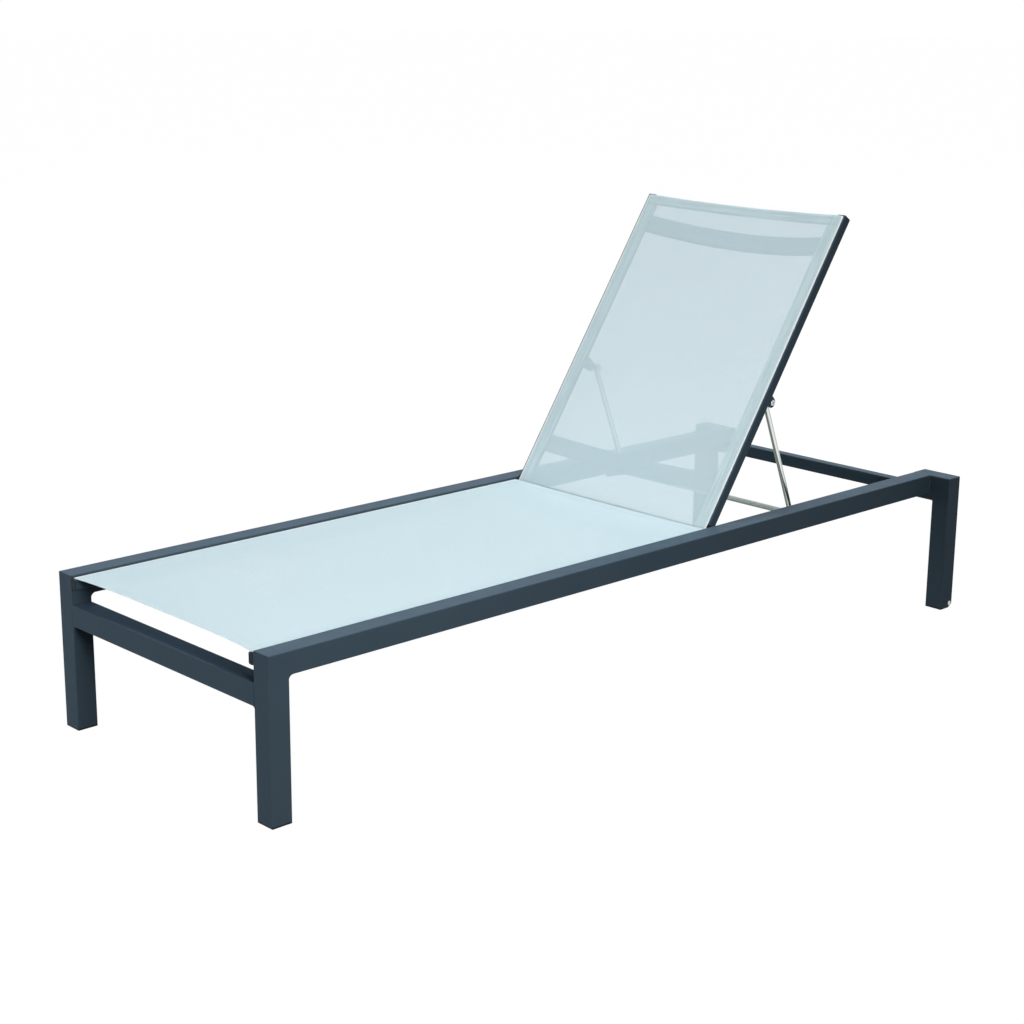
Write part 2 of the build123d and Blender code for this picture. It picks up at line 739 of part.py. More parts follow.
write_pair("bail_spacer", at_backrest(bail_spacer()))
write_pair("bail_strut", at_bail(bail_strut()))
write("bail_rod", at_bail(bail_rod()))
write_group("rod_plugs", [at_bail(plug) for plug in rod_plugs()])
write_pair("rack", rack())
write_group("rack_screws", rack_screws())

print("bail length", round(bail_length, 2), "bail angle", round(bail_angle, 3))
print("pivot", round(pivot_x, 2), round(pivot_z, 2), "flat bail angle", round(flat_bail_angle, 3))
print("bail turn per backrest turn", round(bail_ratio + 1, 5))
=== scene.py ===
import json
from math import atan2, cos, hypot, pi, radians, sin

import bmesh
import bpy
from mathutils import Matrix, Vector


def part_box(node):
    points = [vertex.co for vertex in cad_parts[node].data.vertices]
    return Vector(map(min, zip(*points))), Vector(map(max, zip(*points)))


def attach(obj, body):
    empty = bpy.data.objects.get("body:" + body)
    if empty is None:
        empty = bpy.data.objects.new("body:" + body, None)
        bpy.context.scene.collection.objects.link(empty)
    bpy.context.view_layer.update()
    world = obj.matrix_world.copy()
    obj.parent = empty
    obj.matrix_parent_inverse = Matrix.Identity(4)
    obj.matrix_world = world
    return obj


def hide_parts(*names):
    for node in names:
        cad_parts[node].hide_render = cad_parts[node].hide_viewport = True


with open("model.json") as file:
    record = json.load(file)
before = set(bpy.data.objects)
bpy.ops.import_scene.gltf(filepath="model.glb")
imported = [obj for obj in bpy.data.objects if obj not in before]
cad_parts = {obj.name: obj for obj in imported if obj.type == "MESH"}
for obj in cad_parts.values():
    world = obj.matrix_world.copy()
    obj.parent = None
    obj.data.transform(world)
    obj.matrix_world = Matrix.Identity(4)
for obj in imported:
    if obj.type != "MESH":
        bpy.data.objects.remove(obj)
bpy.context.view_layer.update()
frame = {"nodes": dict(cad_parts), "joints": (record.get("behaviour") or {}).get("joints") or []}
print("frame loaded:", len(frame["nodes"]), "nodes")

# Lengths are in metres. +X points to the head end, +Z is up, and the near side is at -Y.
mm = 0.001
joints = {joint["name"]: joint for joint in frame["joints"]}
hinge = Vector(joints["backrest_recline"]["pos_m"])
backAngle = radians(joints["backrest_recline"]["range_deg"][1])
bailPivot = Vector(joints["bail_swing"]["pos_m"])
rodLow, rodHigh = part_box("bail_rod")
rodCentre = (rodLow + rodHigh) / 2


def addObject(name, data):
    thing = bpy.data.objects.new(name, data)
    bpy.context.scene.collection.objects.link(thing)
    return thing


# Node trees

def emptyTree(owner):
    owner.use_nodes = True
    owner.node_tree.nodes.clear()
    return owner.node_tree


def newMaterial(name):
    material = bpy.data.materials.new(name)
    tree = emptyTree(material)
    output = tree.nodes.new("ShaderNodeOutputMaterial")
    shader = tree.nodes.new("ShaderNodeBsdfPrincipled")
    tree.links.new(shader.outputs["BSDF"], output.inputs["Surface"])
    return material, tree, shader


def connect(tree, source, target):
    # source is a socket or a plain value
    if isinstance(source, (int, float)):
        target.default_value = source
    else:
        tree.links.new(source, target)


def maths(tree, operation, first, second=0.0, third=None):
    node = tree.nodes.new("ShaderNodeMath")
    node.operation = operation
    connect(tree, first, node.inputs[0])
    connect(tree, second, node.inputs[1])
    if third is not None:
        connect(tree, third, node.inputs[2])
    return node.outputs[0]


def weighted(tree, *parts):
    # the sum of values, each times its weight
    total = 0.0
    for value, weight in parts:
        total = maths(tree, "MULTIPLY_ADD", value, weight, total)
    return total


def objectPlace(tree, scale=(1, 1, 1), turn=(0, 0, 0)):
    coordinates = tree.nodes.new("ShaderNodeTexCoord")
    mapping = tree.nodes.new("ShaderNodeMapping")
    mapping.vector_type = "TEXTURE"
    mapping.inputs["Rotation"].default_value = turn
    mapping.inputs["Scale"].default_value = [1 / s for s in scale]
    tree.links.new(coordinates.outputs["Object"], mapping.inputs["Vector"])
    return mapping.outputs["Vector"]


def noise(tree, place, scale, detail=2.0, roughness=0.5):
    node = tree.nodes.new("ShaderNodeTexNoise")
    node.inputs["Scale"].default_value = scale
    node.inputs["Detail"].default_value = detail
    node.inputs["Roughness"].default_value = roughness
    tree.links.new(place, node.inputs["Vector"])
    return node.outputs["Fac"]


def spread(tree, value, low, high, fromLow=0.3, fromHigh=0.7):
    # the range it starts from, unless given, is the one that a noise mostly covers
    node = tree.nodes.new("ShaderNodeMapRange")
    connect(tree, value, node.inputs["Value"])
    node.inputs["From Min"].default_value = fromLow
    node.inputs["From Max"].default_value = fromHigh
    node.inputs["To Min"].default_value = low
    node.inputs["To Max"].default_value = high
    return node.outputs["Result"]


def mixColours(tree, share, first, second):
    node = tree.nodes.new("ShaderNodeMix")
    node.data_type = "RGBA"
    connect(tree, share, node.inputs["Factor"])
    for colour, target in ((first, node.inputs["A"]), (second, node.inputs["B"])):
        if isinstance(colour, tuple):
            target.default_value = (*colour, 1)
        else:
            tree.links.new(colour, target)
    return node.outputs["Result"]


def addBump(tree, shader, height, strength, distance):
    bump = tree.nodes.new("ShaderNodeBump")
    bump.inputs["Strength"].default_value = strength
    bump.inputs["Distance"].default_value = distance
    tree.links.new(height, bump.inputs["Height"])
    tree.links.new(bump.outputs["Normal"], shader.inputs["Normal"])


# Materials

powderCoat = {
    "colour": (0.056, 0.086, 0.113),
    "paleColour": (0.064, 0.098, 0.128),
    "roughness": (0.38, 0.50),
    "specular": 0.03,
    "bloom": 0.14,               # pale bluish sheen at grazing angles
    "bloomTint": (0.34, 0.62, 1.0),
    "bloomRoughness": 0.5,
    "orangePeel": 700.0,         # bumps of the baked powder per metre
    "peelHeight": 0.12 * mm,
    "peelStrength": 0.35,
    "patches": 7.0,              # uneven colour per metre
    "patchShare": 0.6,           # how much of the change of colour they make
    "glossPatches": 28.0,        # uneven gloss per metre
    "speckle": 2600.0,           # fine grains per metre
    "speckleShare": 0.4,
}


def makePowderCoat(name, spec):
    material, tree, shader = newMaterial(name)
    place = objectPlace(tree)
    patches = spread(tree, noise(tree, place, spec["patches"], 4), 0, 1)
    speckle = spread(tree, noise(tree, place, spec["speckle"], 1), 0, 1)
    share = weighted(tree, (speckle, spec["speckleShare"]), (patches, spec["patchShare"]))
    colour = mixColours(tree, share, spec["colour"], spec["paleColour"])
    tree.links.new(colour, shader.inputs["Base Color"])
    gloss = spread(tree, noise(tree, place, spec["glossPatches"], 3), *spec["roughness"])
    tree.links.new(gloss, shader.inputs["Roughness"])
    peel = noise(tree, place, spec["orangePeel"], 2, 0.6)
    addBump(tree, shader, peel, spec["peelStrength"], spec["peelHeight"])
    shader.inputs["Specular IOR Level"].default_value = spec["specular"]
    shader.inputs["Sheen Weight"].default_value = spec["bloom"]
    shader.inputs["Sheen Roughness"].default_value = spec["bloomRoughness"]
    shader.inputs["Sheen Tint"].default_value = (*spec["bloomTint"], 1)
    return material


stainless = {
    "colour": (0.86, 0.90, 0.87),
    # dark of the brushed grain, and of the painted reflection bands on tubes
    "grainAndReflectionDark": (0.10, 0.13, 0.11),
    "roughness": (0.14, 0.30),
    "anisotropy": 0.35,
    # painted reflection: place across a polished tube, from -1 to 1, and how dark the reflection painted
    # there is
    "bands": ((-1.0, 0.5), (-0.85, 1.0), (-0.40, 0.9), (-0.15, 0.0), (0.40, 0.0), (0.58, 0.45), (1.0, 0.35)),
    # share and side of the painted reflection bands
    "reflectionShare": 0.85,
    "reflectionFace": (-0.69, -0.68, 0.26),  # side of the tubes that the bands are laid out on
    "brushLength": 14.0,         # strokes per metre along the tube
    "brushWidth": 2400.0,        # and across it
    "brushShare": 0.25,
    "brushHeight": 0.03 * mm,
    "brushStrength": 0.25,
}
boltLook = dict(stainless)
boltLook.update({"colour": (0.60, 0.63, 0.61), "grainAndReflectionDark": (0.12, 0.14, 0.13)})


def paintedReflection(tree, bands, centre, sideways, radius):
    # painted reflection: how dark the mirrored surroundings are painted across a tube's width, which is
    # measured sideways from a point on its centre line
    coordinates = tree.nodes.new("ShaderNodeTexCoord")
    inward = tree.nodes.new("ShaderNodeVectorMath")
    inward.operation = "SUBTRACT"
    inward.inputs[1].default_value = centre
    tree.links.new(coordinates.outputs["Object"], inward.inputs[0])
    dot = tree.nodes.new("ShaderNodeVectorMath")
    dot.operation = "DOT_PRODUCT"
    dot.inputs[1].default_value = sideways.normalized() / radius
    tree.links.new(inward.outputs["Vector"], dot.inputs[0])
    ramp = tree.nodes.new("ShaderNodeValToRGB")
    elements = ramp.color_ramp.elements
    while len(elements) < len(bands):
        elements.new(0.5)
    for element, (place, dark) in zip(elements, bands):
        element.position = (place + 1) / 2
        element.color = (dark, dark, dark, 1)
    tree.links.new(spread(tree, dot.outputs["Value"], 0, 1, -1, 1), ramp.inputs["Fac"])
    return ramp.outputs["Color"]


def makeStainless(name, spec, lengthAxis, turn=(0, 0, 0), tube=None):
    # lengthAxis is the axis that the strokes follow, after the turn; the last argument, for bands of painted
    # reflection, gives the tube's centre, the direction across it and its radius
    material, tree, shader = newMaterial(name)
    scale = [spec["brushWidth"]] * 3
    scale[lengthAxis] = spec["brushLength"]
    strokes = noise(tree, objectPlace(tree, scale, turn), 1.0, 3, 0.65)
    parts = [(strokes, spec["brushShare"])]
    if tube:
        # bands of painted reflection along the tube
        parts.append((paintedReflection(tree, spec["bands"], *tube), spec["reflectionShare"]))
    share = weighted(tree, *parts)
    tree.links.new(mixColours(tree, share, spec["colour"], spec["grainAndReflectionDark"]), shader.inputs["Base Color"])
    tree.links.new(spread(tree, strokes, *spec["roughness"]), shader.inputs["Roughness"])
    shader.inputs["Metallic"].default_value = 1.0
    shader.inputs["Anisotropic"].default_value = spec["anisotropy"]
    addBump(tree, shader, strokes, spec["brushStrength"], spec["brushHeight"])
    return material


mouldedPlastic = {
    "cap": {"colour": (0.010, 0.011, 0.013), "paleColour": (0.018, 0.020, 0.024), "specular": 0.15,
            "roughness": (0.42, 0.58), "grain": 1500.0, "grainHeight": 0.08 * mm},
    "endCap": {"colour": (0.026, 0.036, 0.046), "paleColour": (0.036, 0.048, 0.060), "specular": 0.05,
               "roughness": (0.42, 0.58), "grain": 1500.0, "grainHeight": 0.08 * mm},
    "rack": {"colour": (0.012, 0.012, 0.013), "paleColour": (0.022, 0.022, 0.024), "specular": 0.4,
             "roughness": (0.35, 0.50), "grain": 900.0, "grainHeight": 0.05 * mm},
    "roller": {"colour": (0.030, 0.031, 0.033), "paleColour": (0.044, 0.045, 0.047), "specular": 0.4,
               "roughness": (0.30, 0.48), "grain": 1200.0, "grainHeight": 0.04 * mm},
    "spline": {"colour": (0.42, 0.50, 0.54), "paleColour": (0.52, 0.60, 0.64), "specular": 0.4,
               "roughness": (0.40, 0.55), "grain": 700.0, "grainHeight": 0.04 * mm},
}
plasticWear = {
    "scuffs": 45.0,              # worn places per metre
    "scuffRange": (0.45, 0.75),
    "scuffShare": 0.7,
    "grainShare": 0.3,
    "grainStrength": 0.4,
}


def makePlastic(name, spec):
    material, tree, shader = newMaterial(name)
    place = objectPlace(tree)
    grain = noise(tree, place, spec["grain"], 3, 0.6)
    scuffs = noise(tree, place, plasticWear["scuffs"], 5, 0.7)
    scuffs = spread(tree, scuffs, 0, 1, *plasticWear["scuffRange"])
    share = weighted(tree, (grain, plasticWear["grainShare"]), (scuffs, plasticWear["scuffShare"]))
    colour = mixColours(tree, share, spec["colour"], spec["paleColour"])
    tree.links.new(colour, shader.inputs["Base Color"])
    tree.links.new(spread(tree, scuffs, *spec["roughness"], 0, 1), shader.inputs["Roughness"])
    addBump(tree, shader, grain, plasticWear["grainStrength"], spec["grainHeight"])
    shader.inputs["Specular IOR Level"].default_value = spec["specular"]
    return material


meshCloth = {
    "colour": (0.730, 0.900, 0.960),
    "darkYarn": (0.675, 0.850, 0.915),
    # painted shade of doubled cloth, in darker and paler streaks
    "doubledShadeDark": (0.640, 0.815, 0.875),
    "doubledShadeLight": (0.770, 0.950, 0.985),
    # welded edge's colour, paler as a painted highlight where the cloth bends into the slot
    "sealedHighlightColour": (0.900, 0.960, 0.975),
    "pitch": 2.0 * mm,           # from one yarn to the next
    "hole": 0.95 * mm,
    "holeBlur": 0.03,            # of a hole's edge, in pitches
    "seamBlur": 0.3 * mm,        # of the edges of doubled and welded parts
    "yarnHeight": 0.30 * mm,
    "yarnStrength": 0.5,
    "yarnSwing": 0.25,           # how far a yarn rises and dives where it crosses another
    "streaks": (210.0, 9.0),     # uneven yarns per metre, across them and along them
    "streakShare": 0.35,
    "clouds": 3.0,               # broad changes of shade per metre
    "cloudShare": 0.3,
    "roughness": 0.62,
    "specular": 0.3,
    "sheen": 0.10,
    "sheenRoughness": 0.4,
}


def makeMeshCloth(name, spec, sling):
    # sling gives the places of the doubled and welded parts, in the weave's own measure
    material, tree, shader = newMaterial(name)
    uv = tree.nodes.new("ShaderNodeUVMap")
    uv.uv_map = "weave"
    split = tree.nodes.new("ShaderNodeSeparateXYZ")
    tree.links.new(uv.outputs["UV"], split.inputs["Vector"])
    across = maths(tree, "DIVIDE", split.outputs["X"], spec["pitch"])
    along = maths(tree, "DIVIDE", split.outputs["Y"], spec["pitch"])

    def opening(turns):
        # 1 in the gap between two yarns
        offset = maths(tree, "ABSOLUTE", maths(tree, "SUBTRACT", maths(tree, "FRACT", turns), 0.5))
        half = spec["hole"] / spec["pitch"] / 2
        return spread(tree, offset, 1, 0, half - spec["holeBlur"], half + spec["holeBlur"])

    def past(value, place):
        return spread(tree, value, 0, 1, place - spec["seamBlur"], place + spec["seamBlur"])

    fromMiddle = maths(tree, "ABSOLUTE", split.outputs["X"])
    # welded edge: its holes closed, and its colour paler as a painted highlight
    sealedAndHighlit = past(fromMiddle, sling["slotCentre"] - sling["sealedEdge"])
    pocket = past(fromMiddle, sling["slotCentre"] - sling["pocket"])
    lowFold = maths(tree, "SUBTRACT", 1.0, past(split.outputs["Y"], sling["folds"][0]))
    highFold = past(split.outputs["Y"], sling["length"] - sling["folds"][1])
    doubled = maths(tree, "MAXIMUM", pocket, maths(tree, "MAXIMUM", lowFold, highFold))
    hole = maths(tree, "MULTIPLY", opening(across), opening(along))
    hole = maths(tree, "MULTIPLY", hole, maths(tree, "SUBTRACT", 1.0, sealedAndHighlit))
    tree.links.new(maths(tree, "SUBTRACT", 1.0, hole), shader.inputs["Alpha"])

    def ridge(turns):
        # a yarn's round back, highest on its line
        return maths(tree, "ABSOLUTE", maths(tree, "COSINE", maths(tree, "MULTIPLY", turns, pi)))

    middle = 1 - spec["yarnSwing"]

    def swing(first, second):
        # warp over weft at every other crossing
        wave = maths(tree, "SINE", maths(tree, "MULTIPLY", first, pi))
        other = maths(tree, "SINE", maths(tree, "MULTIPLY", second, pi))
        return maths(tree, "MULTIPLY_ADD", maths(tree, "MULTIPLY", wave, other), spec["yarnSwing"], middle)

    warp = maths(tree, "MULTIPLY", ridge(across), swing(across, along))
    weft = maths(tree, "MULTIPLY", ridge(along), maths(tree, "SUBTRACT", 2 * middle, swing(across, along)))
    height = maths(tree, "MAXIMUM", warp, weft)
    addBump(tree, shader, height, spec["yarnStrength"], spec["yarnHeight"])

    def streaks(scaleX, scaleY):
        mapping = tree.nodes.new("ShaderNodeMapping")
        mapping.inputs["Scale"].default_value = (scaleX, scaleY, 1)
        tree.links.new(uv.outputs["UV"], mapping.inputs["Vector"])
        return noise(tree, mapping.outputs["Vector"], 1.0, 2)

    fine, long = spec["streaks"]
    lengthwise = spread(tree, streaks(fine, long), 0, 1)
    crosswise = spread(tree, streaks(long, fine), 0, 1)
    cloudy = spread(tree, noise(tree, objectPlace(tree), spec["clouds"], 2), 0, 1)
    share = weighted(tree, (crosswise, spec["streakShare"]), (lengthwise, spec["streakShare"]),
                     (cloudy, spec["cloudShare"]))
    yarns = mixColours(tree, share, spec["colour"], spec["darkYarn"])
    # doubled cloth takes a painted shade, streaked like moire, for the shaded under layer seen through its
    # holes
    shaded = maths(tree, "MULTIPLY", doubled, sling["doubledShade"])
    moireShade = maths(tree, "MULTIPLY_ADD", pocket, maths(tree, "SUBTRACT", lengthwise, crosswise), crosswise)
    paintedDoubledShade = mixColours(tree, moireShade, spec["doubledShadeDark"], spec["doubledShadeLight"])
    yarnsAndShade = mixColours(tree, shaded, yarns, paintedDoubledShade)
    colour = mixColours(tree, sealedAndHighlit, yarnsAndShade, spec["sealedHighlightColour"])
    tree.links.new(colour, shader.inputs["Base Color"])
    shader.inputs["Roughness"].default_value = spec["roughness"]
    shader.inputs["Specular IOR Level"].default_value = spec["specular"]
    shader.inputs["Sheen Weight"].default_value = spec["sheen"]
    shader.inputs["Sheen Roughness"].default_value = spec["sheenRoughness"]
    return material


threadLook = {
    "colour": (0.44, 0.53, 0.58),
    "paleColour": (0.56, 0.66, 0.70),
    "roughness": 0.55,
    "twist": 1600.0,             # changes of shade per metre
    "twistSqueeze": (1, 3, 1),   # closer together along the rows
    "twistHeight": 0.1 * mm,
    "twistStrength": 0.5,
}


def makeThread(name, spec):
    material, tree, shader = newMaterial(name)
    twist = noise(tree, objectPlace(tree, spec["twistSqueeze"]), spec["twist"], 2)
    tree.links.new(mixColours(tree, twist, spec["colour"], spec["paleColour"]), shader.inputs["Base Color"])
    shader.inputs["Roughness"].default_value = spec["roughness"]
    addBump(tree, shader, twist, spec["twistStrength"], spec["twistHeight"])
    return material


coat = makePowderCoat("slateCoat", powderCoat)
strutTurn = atan2(bailPivot.z - rodCentre.z, rodCentre.x - bailPivot.x)
strutAxis = (rodCentre - bailPivot).normalized()
# the painted reflection bands are laid across the struts and the rod from this side
reflectionFace = Vector(stainless["reflectionFace"])
strutReflectionAcross = reflectionFace.cross(strutAxis)
rodRadius = (rodHigh.z - rodLow.z) / 2
strutSteels = {}
for side in ("left", "right"):
    strutLow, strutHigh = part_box("bail_strut_" + side)
    onAxis = Vector((rodCentre.x, (strutLow.y + strutHigh.y) / 2, rodCentre.z))
    strutSteels[side] = makeStainless("strutSteel_" + side, stainless, 0, (0, strutTurn, 0),
                                      (onAxis, strutReflectionAcross, (strutHigh.y - strutLow.y) / 2))
rodReflectionAcross = Vector((0, 1, 0)).cross(reflectionFace)
rodSteel = makeStainless("rodSteel", stainless, 1, tube=(rodCentre, rodReflectionAcross, rodRadius))
boltSteel = makeStainless("boltSteel", boltLook, 1)
capPlastic = makePlastic("capPlastic", mouldedPlastic["cap"])
rackPlastic = makePlastic("rackPlastic", mouldedPlastic["rack"])
rollerPlastic = makePlastic("rollerPlastic", mouldedPlastic["roller"])
splinePlastic = makePlastic("splinePlastic", mouldedPlastic["spline"])
endCapPlastic = makePlastic("endCapPlastic", mouldedPlastic["endCap"])
thread = makeThread("hemThread", threadLook)
print("materials made")

# What each carried-over node is finished with, by the start of its name
nodeFinishes = {
    "side_rail": coat, "foot_leg": coat, "foot_crossbar": coat, "head_corner": coat, "head_leg": coat,
    "head_crossbar": coat, "corner_welds": coat, "seat_rail_left": coat, "seat_rail_right": coat,
    "seat_rail_caps": endCapPlastic, "seat_bar": coat, "back_rail": coat, "back_lower_bar": coat,
    "back_upper_bar": coat, "bail_lug": coat, "foot_glide": capPlastic, "head_glide": capPlastic,
    "back_hinge_plug": capPlastic, "back_cap": capPlastic, "rod_plugs": capPlastic,
    "hinge_washer": capPlastic, "rack_left": rackPlastic, "rack_right": rackPlastic,
    "roller_left": rollerPlastic, "roller_right": rollerPlastic, "roller_axle": boltSteel,
    "seat_splines": splinePlastic, "back_splines": splinePlastic, "seat_screws": boltSteel,
    "rack_screws": boltSteel, "hinge_bolt": boltSteel, "hinge_nut": boltSteel, "bail_bolt": boltSteel,
    "bail_spacer": boltSteel, "bail_strut_left": strutSteels["left"],
    "bail_strut_right": strutSteels["right"], "bail_rod": rodSteel,
}

for nodeName, node in frame["nodes"].items():
    for start, finish in nodeFinishes.items():
        if nodeName.startswith(start):
            node.data.materials.clear()
            node.data.materials.append(finish)
print("frame finished")


# Slings

def layerPath(length, foldWidths, layerGap, step):
    # (place, lift, layer) along a sling whose two ends are folded back under it
    lowFold, highFold = foldWidths
    turn, turnSteps = layerGap / 2, 6
    angles = [pi * i / turnSteps for i in range(1, turnSteps)]
    path = []

    def run(start, end, lift, layer):
        count = max(2, round(abs(end - start) / step))
        for i in range(count + 1):
            path.append((start + (end - start) * i / count, lift, layer))

    run(lowFold, 0, -layerGap, 1)
    path.extend((-turn * sin(a), -turn - turn * cos(a), 0) for a in angles)
    run(0, length, 0, 0)
    path.extend((length + turn * sin(a), -turn + turn * cos(a), 0) for a in angles)
    run(length, length - highFold, -layerGap, 1)
    return path


def arc(centre, radius, start, end, count):
    return [(centre[0] + radius * cos(start + (end - start) * i / count),
             centre[1] + radius * sin(start + (end - start) * i / count)) for i in range(count + 1)]


def widthPath(spec):
    # (y, height, layer) across a sling: the pocket's free edge, down into the spline's slot, round the
    # loop that the spline keeps there, up again and over the top
    centre, gap, bend = spec["slotCentre"], spec["layerGap"], spec["bendRadius"]
    loop, corner = spec["loopRadius"], spec["loopRadius"] / 3
    cornerSteps, loopSteps, bendSteps = 3, 8, 6
    top, deep = spec["top"], spec["top"] - spec["tuck"]
    inner, outer = -centre + loop, -centre - loop
    count = round(spec["pocket"] / spec["columnWidth"])
    start, free = inner + corner, -centre + spec["pocket"]
    edge = [(free + (start - free) * i / count, top - gap, 1) for i in range(count)]
    edge += [(y, n, 1) for y, n in arc((start, top - gap - corner), corner, pi / 2, pi, cornerSteps)]
    edge += [(y, n, 1) for y, n in arc((-centre, deep), loop, 0, -pi, loopSteps)]
    edge += [(y, n, 0) for y, n in arc((outer + bend, top - bend), bend, pi, pi / 2, bendSteps)]
    reach = -edge[-1][0]
    columns = round(2 * reach / spec["columnWidth"])
    middle = [(-reach + 2 * reach * i / columns, top, 0) for i in range(1, columns)]
    return edge + middle + [(-y, n, layer) for y, n, layer in reversed(edge)]


def pathLength(path):
    return sum(hypot(b[0] - a[0], b[1] - a[1]) for a, b in zip(path, path[1:]))


def clothPoint(spec, crosswise, lengthwise):
    # one point of the sling's middle surface, as (place along, y, height)
    y, height, underneath = crosswise
    along, lift = lengthwise[:2]
    out = min(1.0, abs(y) / spec["slotCentre"])
    height += lift * (spec["pocketLift"] if underneath else 1.0) - spec["sag"] * (1 - out**2)
    corner = spec["cornerRadius"]
    past = min(corner, max(0.0, abs(y) - spec["slotCentre"] + corner))
    cut = corner - (corner**2 - past**2)**0.5

    def near(distance):
        share = min(1.0, max(0.0, 1 - distance / spec["curveReach"]))
        return share**2 * (3 - 2 * share)

    low = spec["lowCurve"] * (1 - out**spec["curvePower"]) + cut
    high = spec["highCurve"] * (1 - out**spec["curvePower"]) + cut
    return along + low * near(along) - high * near(spec["length"] - along), y, height


def makeSling(name, spec, material, place):
    # the sling, and how wide and how long its cloth is when laid out flat
    across = widthPath(spec)
    along = layerPath(spec["length"], spec["folds"], spec["layerGap"], spec["step"])
    shift = spec["layerShift"]
    bm = bmesh.new()
    uvLayer = bm.loops.layers.uv.new("weave")
    grid = []
    for lengthwise in along:
        grid.append([bm.verts.new(place(*clothPoint(spec, crosswise, lengthwise))) for crosswise in across])
    for j in range(len(along) - 1):
        for i in range(len(across) - 1):
            face = bm.faces.new((grid[j][i], grid[j][i + 1], grid[j + 1][i + 1], grid[j + 1][i]))
            face.smooth = True
            layers = (across[i][2] and across[i + 1][2], along[j][2] and along[j + 1][2])
            for loop, (ci, cj) in zip(face.loops, ((i, j), (i + 1, j), (i + 1, j + 1), (i, j + 1))):
                loop[uvLayer].uv = (across[ci][0] + shift * layers[0], along[cj][0] + shift * layers[1])
    mesh = bpy.data.meshes.new(name)
    bm.to_mesh(mesh)
    bm.free()
    sling = addObject(name, mesh)
    thickness = sling.modifiers.new("thickness", "SOLIDIFY")
    thickness.thickness = spec["thickness"]
    thickness.offset = 0
    mesh.materials.append(material)
    return sling, pathLength(across), pathLength(along)


seatLow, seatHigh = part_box("seat_sling")
splineLow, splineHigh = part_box("seat_splines")
splineRadius = (splineHigh.z - splineLow.z) / 2
seatSetback = 3.0 * mm           # foot edge of the cloth behind that of the carried-over sling
seatTrim = 0.6 * mm              # and its hinge edge
seatRise = 0.75 * mm             # middle of the cloth over the carried-over sling's underside
seatSling = {
    "length": seatHigh.x - seatLow.x - seatSetback - seatTrim,
    "slotCentre": splineHigh.y - splineRadius,
    "top": seatLow.z + seatRise,
    "thickness": 0.28 * mm,
    "layerGap": 0.5 * mm,        # between the middles of two layers
    "layerShift": 1.0 * mm,      # weave of an under layer beside that of the top layer
    "folds": (26 * mm, 26 * mm),
    "pocket": 33 * mm,           # how far the edge's doubled layer reaches inwards
    "pocketLift": 0.2,           # share of a fold's lift that the pocket's layer takes
    "doubledShade": 0.25,        # share of painted shade that the doubled cloth takes, out of 1
    "step": 8 * mm,              # lengthwise, from one row of points to the next
    "columnWidth": 8 * mm,       # and crosswise
    "bendRadius": 0.9 * mm,      # of the bend from the spline's slot over the top
    "loopRadius": 0.85 * mm,     # of the cloth inside the slot
    "tuck": 1.1 * mm,            # middle of that loop under the cloth's top
    "sealedEdge": 3.0 * mm,      # welded edge, where the weave's holes are closed and the colour is paler as a painted highlight
    "sag": 1.5 * mm,             # of the stretched cloth in its middle
    "lowCurve": 13.0 * mm,       # how far the foot edge curves back in its middle
    "highCurve": 0.0,
    "curvePower": 3.3,           # how square that curve is
    "curveReach": 0.12,          # how far it is felt along the sling
    "cornerRadius": 2.5 * mm,    # of the sling's corners, seen from above
}
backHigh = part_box("back_sling")[1]
backTop = 11.2 * mm              # upper side of the carried-over sling over the hinge axis
backSink = 0.45 * mm             # middle of the cloth under that side
backOverhang = 0.6 * mm          # cloth past the carried-over sling's upper end
backLength = (backHigh.z - hinge.z - backTop * cos(backAngle)) / sin(backAngle)
backSling = dict(seatSling)
backSling.update({
    "length": backLength + backOverhang,
    "slotCentre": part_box("back_splines")[1].y - splineRadius,
    "top": backTop - backSink,
    "folds": (6 * mm, 26 * mm),
    "doubledShade": 1.0,
    "bendRadius": 1.6 * mm,
    "loopRadius": 1.0 * mm,
    "tuck": 1.9 * mm,
    "sag": 2.0 * mm,
    "lowCurve": 0.0,
    "highCurve": 5.5 * mm,       # how far the top edge dips in its middle
    "curvePower": 2.0,
    "curveReach": 0.07,
    "cornerRadius": 4.0 * mm,
})
seatWeave = makeMeshCloth("seatWeave", meshCloth, seatSling)
backWeave = makeMeshCloth("backWeave", meshCloth, backSling)


def seatPlace(along, y, height):
    return seatLow.x + seatSetback + along, y, height


def backPlace(along, y, height):
    return (hinge.x + along * cos(backAngle) - height * sin(backAngle), y,
            hinge.z + along * sin(backAngle) + height * cos(backAngle))


seatCloth, seatCut, seatRun = makeSling("seatCloth", seatSling, seatWeave, seatPlace)
backCloth, backCut, backRun = makeSling("backCloth", backSling, backWeave, backPlace)
for piece, body, node in ((seatCloth, "frame", "seat_sling"), (backCloth, "backrest", "back_sling")):
    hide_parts(node)
    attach(piece, body)
print("slings made:", round(seatCut, 4), round(seatRun, 4), round(backCut, 4), round(backRun, 4))


# Rows of stitches, by geometry nodes

stitching = {
    "pitch": 4.0 * mm,
    "stitch": 3.1 * mm,
    "radius": 0.22 * mm,
    "sides": 6,
    "rings": 4,
    "standsOut": 0.4,            # a stitch's middle over the cloth, in thread radii
    "rowInset": 3.0 * mm,        # a hem's inner row from the fold's free edge
    "edgeInset": 7.0 * mm,       # outer row from the end of the sling
    "rowSteps": 60,
}


def addSocket(tree, name, kind, value=None):
    socket = tree.interface.new_socket(name, in_out="INPUT", socket_type=kind)
    if value is not None:
        socket.default_value = value
    return socket.identifier


